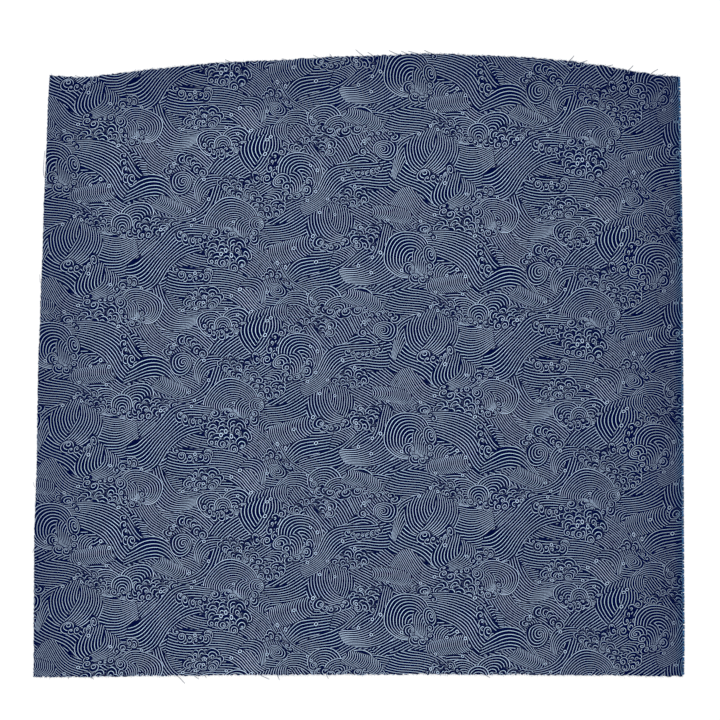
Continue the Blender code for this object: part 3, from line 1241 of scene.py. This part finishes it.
def printed_cotton(printing, cotton):
    """Navy ground with pale printed lines on a plain weave, and its washed-out wrong side."""
    paint = Paint("printed cotton", cotton.roughness)
    place = paint.place()
    mask = print_mask(paint, printing, place)
    to_selvedge, to_cut, to_left_or_top = paint.parts(paint.kept("edge"))
    upward = paint.parts(paint.add("ShaderNodeNewGeometry", {}, {}, 1))[2]
    weave = weave_height(paint, place, cotton.thread)
    slub = paint.noise(paint.stretched(place, SLUB_STRETCH), SLUB_SIZE, 3.0)
    cloud = paint.noise(place, CLOUD_SIZE, 3.0)

    # The lines grow dimmer towards the selvedge, in a band by it and in a wider band beside it
    dim = paint.between(to_selvedge, DIM_BAND, 0.0) * DIM_DEPTH
    dimmed = paint.between(to_selvedge, SELVEDGE_DIMMING_BAND, SELVEDGE_DIMMING_END) * SELVEDGE_DIMMING_DEPTH
    # Painted shade: the lines darken towards the left and top cuts, where the light falls off
    left_top_shade = paint.between(to_left_or_top, LEFT_TOP_SHADE_BAND, 0.0) * LEFT_TOP_SHADE_DEPTH
    dry = paint.between(paint.noise(place, DRY_SIZE, 4.0), *DRY_RANGE) * DRY_DEPTH
    strength = mask * (1 - dim) * (1 - dimmed) * (1 - left_top_shade) * (1 - dry)
    near_selvedge = paint.between(to_selvedge, TINT_BAND, 0.0) * TINT_DEPTH
    line = paint.colours(near_selvedge, printing.line, printing.edge_line)
    printed = paint.colours(strength, paint.tones(cloud, printing.ground, *CLOUD_TONES), line)
    bare = 1 - paint.between(to_selvedge, BARE_EDGE, BARE_EDGE + BARE_EASE)
    face = paint.colours(bare, printed, paint.tones(slub, cotton.plain, *PLAIN_TONES))
    worn = 1 - paint.between(to_cut, 0.0, WORN_EDGE)
    face = paint.colours(worn * WORN_DEPTH, face, cotton.plain)

    shown_through = paint.between(paint.noise(place, GHOST_SIZE, 5.0), *GHOST_RANGE)
    ghost = paint.tones(shown_through, cotton.plain, *GHOST_TONES)
    whole = paint.colours(paint.between(upward, *UP_RANGE), ghost, face)
    # Painted shade: the colour darkens in the hollows between the weave's threads, mixed with the slubs' own
    # tone
    tone = WEAVE_SHADE_AND_SLUB_TONE + WEAVE_SHADE_AND_SLUB_DEPTH * weave * slub
    weave_shade_and_slub_grey = paint.add("ShaderNodeCombineXYZ", {}, {0: tone, 1: tone, 2: tone})
    paint.feed("Base Color", paint.colours(1.0, whole, weave_shade_and_slub_grey, "MULTIPLY"))
    paint.feed("Roughness", cotton.roughness - INK_SMOOTHNESS * mask + SLUB_ROUGHNESS * slub)
    paint.relief(weave * WEAVE_RELIEF + slub * SLUB_RELIEF, cotton.thread * WEAVE_DEPTH, WEAVE_STRENGTH)
    return paint.material


def yarn(name, colour, spread):
    """Spun cotton yarn. Each strand has a tone of its own."""
    paint = Paint(name, YARN_ROUGHNESS, YARN_SHEEN)
    place = paint.place()
    fibre = paint.noise(paint.stretched(place, FIBRE_STRETCH), FIBRE_SIZE, 3.0)
    share = paint.clear((1 - FIBRE_SHARE) * paint.kept("tone", 2) + FIBRE_SHARE * fibre)
    paint.feed("Base Color", paint.tones(share, colour, 1 / spread, spread))
    paint.feed("Roughness", YARN_ROUGHNESS - FIBRE_SMOOTHNESS * fibre)
    paint.relief(paint.noise(place, TWIST_SIZE), TWIST_DEPTH, TWIST_STRENGTH)
    return paint.material


class Strands:
    """Thin tubes that make up one mesh, each with its own tone."""

    def __init__(self):
        self.corners = []
        self.faces = []
        self.tones = []

    def add(self, points, radius, tone, tip, sides):
        """A tube along points, which thins out to its tip."""
        points = [Vector(point) for point in points]
        last = len(points) - 1
        first = len(self.corners)
        for index, point in enumerate(points):
            ahead = points[min(index + 1, last)] - points[max(index - 1, 0)]
            aside = ahead.cross(Vector((0.0, 0.0, 1.0))).normalized()
            lift = aside.cross(ahead).normalized()
            reach = radius * (1 - (1 - tip) * index / last)
            for side in range(sides):
                angle = math.tau * (side + 0.5) / sides
                way = aside * math.cos(angle) + lift * math.sin(angle)
                self.corners.append(tuple(point + way * reach))
        for index in range(last):
            for side in range(sides):
                near, far = first + index * sides, first + (index + 1) * sides
                after = (side + 1) % sides
                self.faces.append((near + side, far + side, far + after, near + after))
        self.faces.append(tuple(first + side for side in range(sides)))
        self.faces.append(tuple(first + last * sides + side for side in reversed(range(sides))))
        self.tones += [tone] * (last * sides + 2)

    def piece(self, name, slot, material):
        """The tubes as one piece."""
        made = new_piece(name, self.corners, self.faces, material)
        keep_values(made.data, "tone", "FACE", self.tones)
        return made


def bent_path(root, out, length, inside, hook, floor, steps):
    """A strand's path: from inside the cloth's edge out and down to the floor, hooked at its tip."""
    points = []
    for index in range(steps + 1):
        share = index / steps
        travel = -inside + (length + inside) * share
        free = max(travel, 0.0) / length
        bend = hook * free * free
        height = CLOTH_LIFT + (floor - CLOTH_LIFT) * min(1.0, free * FALL_RATE)
        across = root[0] + out[0] * travel + out[1] * bend
        along = root[1] + out[1] * travel - out[0] * bend
        points.append((across, along, height))
    return points


def cut_threads(name, threads, strands, draw):
    """The loose threads of the top or bottom cut, and the short raveled ends and fibres between them."""
    gathered = Strands()
    side = cloth_sides()[name]
    outward = 1.0 if name == "top" else -1.0

    def way(lean):
        return math.sin(lean), outward * math.cos(lean)

    for row in threads:
        across = SOURCE_BOX[0].x + row.place * MM
        path = bent_path(
            (across, side_at(side, 0, across)), way(math.radians(row.lean)), row.length * MM,
            THREAD_INSIDE, row.hook * MM, strands.radius, THREAD_STEPS,
        )
        gathered.add(path, strands.radius, draw.uniform(*THREAD_TONES), THREAD_TIP, THREAD_SIDES)
    for pitch, kind in ((strands.ravel_pitch, RAVEL), (FUZZ_PITCH, FUZZ)):
        for index, point in enumerate(along_side(side, pitch)[1:-1]):
            if draw.random() < kind.missing:
                continue
            length = draw.uniform(*kind.lengths) * (kind.burst if index % BURST_STEP == 0 else 1.0)
            turned = math.tanh((point[0] - LEAN_TURNS_AT) / LEAN_EASE) if name == "top" else 0.5
            out = way(math.radians(draw.gauss(RAVEL_LEAN * turned, kind.sway)))
            root = (point[0] + around(draw, RAVEL_SHIFT) * pitch, point[1])
            hook = around(draw, RAVEL_HOOK) * length
            path = bent_path(root, out, length, RAVEL_INSIDE, hook, kind.radius, RAVEL_STEPS)
            gathered.add(path, kind.radius, draw.uniform(*RAVEL_TONES), RAVEL_TIP, RAVEL_SIDES)
    return gathered


def left_threads(strands, draw):
    """Threads that work loose from the left cut: one long warp end and some wisps."""
    gathered = Strands()
    side = cloth_sides()["left"]
    share = np.arange(LEFT_STEPS + 1) / LEFT_STEPS
    leaving = np.sin(0.5 * math.pi * np.minimum(1.0, share * LEFT_LEAVES))
    floor = np.where(share > 0, strands.radius, CLOTH_LIFT)
    for row in LEFT_THREADS:
        height = row.height * MM + SOURCE_BOX[0].y + row.rise * MM * share
        away = row.away * MM * leaving + row.bow * MM * share**2
        away[0] = -LEFT_INSIDE * MM
        path = np.column_stack([side_at(side, 1, height) - away, height, floor])
        gathered.add(path, strands.radius * row.weight, draw.uniform(*THREAD_TONES), LEFT_TIP, THREAD_SIDES)
    for point in along_side(side, WISP_PITCH)[1:-1]:
        if draw.random() < WISP_MISSING:
            continue
        length = draw.uniform(*WISP_LENGTHS) * MM
        lean = math.radians(draw.gauss(0.0, WISP_SWAY))
        out = (-math.cos(lean), math.sin(lean))
        path = bent_path(point, out, length, RAVEL_INSIDE, 0.0, RAVEL.radius, WISP_STEPS)
        gathered.add(path, RAVEL.radius, draw.random(), WISP_TIP, RAVEL_SIDES)
    return gathered


def frayed_piece(name, yarn_name, gathered, strands):
    """The threads of a cut as one piece, in a yarn of its own."""
    return gathered.piece(name, "frayed_yarn", yarn(yarn_name, strands.thread, THREAD_SPREAD))


def selvedge_tufts(strands, draw):
    """The tufts of cut weft ends along the selvedge."""
    low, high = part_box("selvedge_fringe")
    gathered = Strands()
    side = cloth_sides()["right"]
    room = high.y - low.y
    count = int(room / TUFT_PITCH)
    first = low.y + (room - (count - 1) * TUFT_PITCH) / 2
    for index in range(count):
        middle = first + (index + around(draw, TUFT_SHIFT)) * TUFT_PITCH
        edge = side_at(side, 1, middle)
        reach = TUFT_REACH * draw.uniform(*TUFT_REACHES)
        sway = math.radians(around(draw, TUFT_SWAY))
        tone = draw.uniform(*TUFT_TONES)
        for end in range(strands.tuft_ends):
            spread = (end + 0.5) / strands.tuft_ends - 0.5
            root = (edge, middle + spread * TUFT_ROOT + around(draw, END_SHIFT) * MM)
            lean = sway - spread * TUFT_CLOSING + math.radians(draw.gauss(0.0, TUFT_STRAY))
            length = reach * draw.uniform(*END_LENGTHS)
            hook = -around(draw, END_HOOK) * MM
            out = (math.cos(lean), math.sin(lean))
            path = bent_path(root, out, length, TUFT_INSIDE, hook, END_RADIUS, END_STEPS)
            radius = END_RADIUS * draw.uniform(*END_RADII)
            own_tone = tone + RIM_TONE * abs(2 * spread) ** 3 + around(draw, TONE_STRAY)
            gathered.add(path, radius, held(own_tone, 0.0, 1.0), END_TIP, END_SIDES)
    return gathered


def lay_map(mesh, top_count, under_count, rim_count):
    """Lays the print large on the baking map, and the underside and the rim beside it."""
    layer = mesh.uv_layers.new(name="OFBake")
    corners = np.zeros(len(mesh.vertices) * 3)
    mesh.vertices.foreach_get("co", corners)
    corners = corners.reshape(-1, 3)[:, :2]
    used = np.zeros(len(mesh.loops), dtype=np.int32)
    mesh.loops.foreach_get("vertex_index", used)
    low, high = corners.min(0), corners.max(0)
    share = (corners[used] - low) / (high - low)
    top_end, under_end = 3 * top_count, 3 * (top_count + under_count)
    spots = np.zeros((len(used), 2))
    for first, last, area in ((0, top_end, TOP_MAP), (top_end, under_end, UNDER_MAP)):
        corner, reach = np.array(area[:2]), np.array(area[2:]) - area[:2]
        spots[first:last] = corner + share[first:last] * reach
    steps = np.linspace(RIM_MAP[1], RIM_MAP[3], rim_count + 1)
    near, far = steps[:-1], steps[1:]
    inner, outer = np.full(rim_count, RIM_MAP[0]), np.full(rim_count, RIM_MAP[2])
    quads = np.stack([(inner, far), (inner, near), (outer, near), (outer, far)], axis=0)
    spots[under_end:] = quads.transpose(2, 0, 1).reshape(-1, 2)
    layer.data.foreach_set("uv", spots.astype(np.float32).ravel())


def light_from(name, place, size, power):
    """A large square light that faces the middle of the cloth."""
    lamp = bpy.data.lights.new(name, "AREA")
    lamp.shape = "SQUARE"
    lamp.size = size
    lamp.energy = power
    light = bpy.data.objects.new(name, lamp)
    light.location = place
    light.rotation_euler = (-Vector(place)).to_track_quat("-Z", "Y").to_euler()
    bpy.context.scene.collection.objects.link(light)


class REMNANT_OT_printed_cloth(bpy.types.Operator):
    """Lays the printed cotton: its print, weave, cut edges and wrong side."""

    bl_idname = "remnant.printed_cloth"
    bl_label = "Printed cloth"

    def execute(self, context):
        printing, cotton = context.scene.remnant_print, context.scene.remnant_cloth
        sides = cloth_sides()
        on_drawing = drawn(cloth_border(sides, random.Random(BORDER_SEED)))
        placed = patches_on(on_drawing.min(0), on_drawing.max(0), printing)
        points, faces, owners = mesh_of_seams(*cut_into_patches(on_drawing, placed), cotton.grid)
        points, faces = only_used(points, faces)
        spots, forms, sizes, waves = patch_values(placed, points, faces, owners)

        places = undrawn(points)
        ring = np.array(loop_of(faces))
        under_places, under_faces = underside_of(places[ring], cotton.grid * UNDERSIDE_COARSENESS)
        top = np.column_stack([places, swell_at(places) + FLOOR_GAP + cotton.thickness])
        under = np.column_stack([under_places, swell_at(under_places) + FLOOR_GAP])
        all_corners = np.vstack([top, under])
        below = len(places) + np.arange(len(ring))
        rim = np.column_stack([np.roll(ring, -1), ring, below, np.roll(below, -1)])
        all_faces = [*faces.tolist(), *(len(places) + under_faces[:, ::-1]).tolist(), *rim.tolist()]

        material = printed_cotton(printing, cotton)
        piece = new_piece("printed_cloth", all_corners.tolist(), all_faces, material)
        mesh = piece.data
        for name, domain, values, fill, count in (
            ("spot", "CORNER", spots.reshape(-1, 3), (0, 0, 0), len(mesh.loops)),
            ("form", "FACE", forms, (0, 1, 0), len(mesh.polygons)),
            ("size", "FACE", sizes, (1, 1, 1), len(mesh.polygons)),
            ("wave", "FACE", waves, (0, 0, 0), len(mesh.polygons)),
        ):
            keep_values(mesh, name, domain, np.vstack([values, np.tile(fill, (count - len(values), 1))]))
        keep_values(mesh, "edge", "POINT", side_distance(sides, all_corners[:, :2]))
        lay_map(mesh, len(faces), len(under_faces), len(ring))
        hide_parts("cloth")
        return {"FINISHED"}


class REMNANT_OT_selvedge_tufts(bpy.types.Operator):
    """Sets the tufts of cut weft ends along the selvedge."""

    bl_idname = "remnant.selvedge_tufts"
    bl_label = "Selvedge tufts"

    def execute(self, context):
        strands = context.scene.remnant_strands
        gathered = selvedge_tufts(strands, random.Random(TUFT_SEED))
        material = yarn("selvedge yarn", strands.fringe, FRINGE_SPREAD)
        piece = gathered.piece("selvedge_tufts", "selvedge_yarn", material)
        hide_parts("selvedge_fringe")
        return {"FINISHED"}


class REMNANT_OT_cut_threads(bpy.types.Operator):
    """Sets the loose threads and raveled ends of the arched, the bottom and the left cut."""

    bl_idname = "remnant.cut_threads"
    bl_label = "Threads of the cuts"

    def execute(self, context):
        strands = context.scene.remnant_strands
        gathered = cut_threads("top", TOP_THREADS, strands, random.Random(TOP_SEED))
        piece = frayed_piece("top_threads", "frayed yarn", gathered, strands)
        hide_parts("top_fray")
        gathered = cut_threads("bottom", BOTTOM_THREADS, strands, random.Random(BOTTOM_SEED))
        piece = frayed_piece("bottom_threads", "frayed yarn below", gathered, strands)
        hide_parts("bottom_fray")
        gathered = left_threads(strands, random.Random(LEFT_SEED))
        frayed_piece("left_threads", "frayed yarn aside", gathered, strands)
        return {"FINISHED"}


class REMNANT_OT_declare_sheet(bpy.types.Operator):
    """Takes no step: it gives neither the cloth's flat size nor its pieces."""

    bl_idname = "remnant.declare_sheet"
    bl_label = "Flat size"

    def execute(self, context):
        return {"FINISHED"}


class REMNANT_OT_stage(bpy.types.Operator):
    """Sets the pale floor, the soft light and the camera straight above the cloth."""

    bl_idname = "remnant.stage"
    bl_label = "Stage"

    def execute(self, context):
        scene, stage = context.scene, context.scene.remnant_stage
        mesh = bpy.data.meshes.new("floor")
        half = FLOOR_SIZE / 2
        corners = [(-half, -half, 0), (half, -half, 0), (half, half, 0), (-half, half, 0)]
        mesh.from_pydata(corners, [], [(0, 1, 2, 3)])
        paint = Paint("pale floor", FLOOR_ROUGHNESS)
        cloud = paint.noise(paint.place(), FLOOR_CLOUD_SIZE)
        paint.feed("Base Color", paint.tones(cloud, stage.floor, FLOOR_EVENNESS, 1.0))
        mesh.materials.append(paint.material)
        floor = bpy.data.objects.new("floor", mesh)
        scene.collection.objects.link(floor)

        world = bpy.data.worlds.new("soft room")
        world.use_nodes = True
        world.node_tree.nodes["Background"].inputs["Color"].default_value = (1.0, 1.0, 1.0, 1.0)
        world.node_tree.nodes["Background"].inputs["Strength"].default_value = stage.ambient
        scene.world = world
        light_from("key light", KEY_PLACE, KEY_SIZE, stage.key)
        scene.view_settings.view_transform = "Standard"

        lens = bpy.data.cameras.new("camera")
        lens.sensor_width = SENSOR_WIDTH
        lens.lens = SENSOR_WIDTH * stage.height / stage.view
        lens.clip_end = 10 * stage.height
        camera = bpy.data.objects.new("camera", lens)
        camera.location = (*VIEW_MIDDLE, stage.height)
        scene.collection.objects.link(camera)
        scene.camera = camera
        return {"FINISHED"}


class REMNANT_PT_pieces(bpy.types.Panel):
    """Lists the pieces of the remnant and their settings."""

    bl_idname = "REMNANT_PT_pieces"
    bl_label = "Fabric remnant"
    bl_space_type = "VIEW_3D"
    bl_region_type = "UI"
    bl_category = "Remnant"

    def draw(self, context):
        scene, layout = context.scene, self.layout
        for title, settings, operators in (
            ("Print", scene.remnant_print, ()),
            ("Cloth", scene.remnant_cloth, (REMNANT_OT_printed_cloth, REMNANT_OT_declare_sheet)),
            ("Strands", scene.remnant_strands, (REMNANT_OT_selvedge_tufts, REMNANT_OT_cut_threads)),
            ("Stage", scene.remnant_stage, (REMNANT_OT_stage,)),
        ):
            box = layout.box()
            box.label(text=title)
            for name in type(settings).__annotations__:
                box.prop(settings, name)
            for operator in operators:
                box.operator(operator.bl_idname)


SETTINGS = {
    "remnant_print": PrintSettings,
    "remnant_cloth": ClothSettings,
    "remnant_strands": StrandSettings,
    "remnant_stage": StageSettings,
}
CLASSES = (
    *SETTINGS.values(),
    REMNANT_OT_printed_cloth,
    REMNANT_OT_selvedge_tufts,
    REMNANT_OT_cut_threads,
    REMNANT_OT_declare_sheet,
    REMNANT_OT_stage,
    REMNANT_PT_pieces,
)


def register():
    """Registers the classes and puts the settings on the scene."""
    for found in CLASSES:
        bpy.utils.register_class(found)
    for name, group in SETTINGS.items():
        setattr(bpy.types.Scene, name, PointerProperty(type=group))


def unregister():
    """Takes the settings and the classes away again."""
    for name in SETTINGS:
        delattr(bpy.types.Scene, name)
    for found in reversed(CLASSES):
        bpy.utils.unregister_class(found)


def main():
    """Makes every piece in order."""
    register()
    bpy.ops.remnant.stage()
    bpy.ops.remnant.printed_cloth()
    bpy.ops.remnant.selvedge_tufts()
    bpy.ops.remnant.cut_threads()
    bpy.ops.remnant.declare_sheet()


if __name__ == "__main__":
    main()
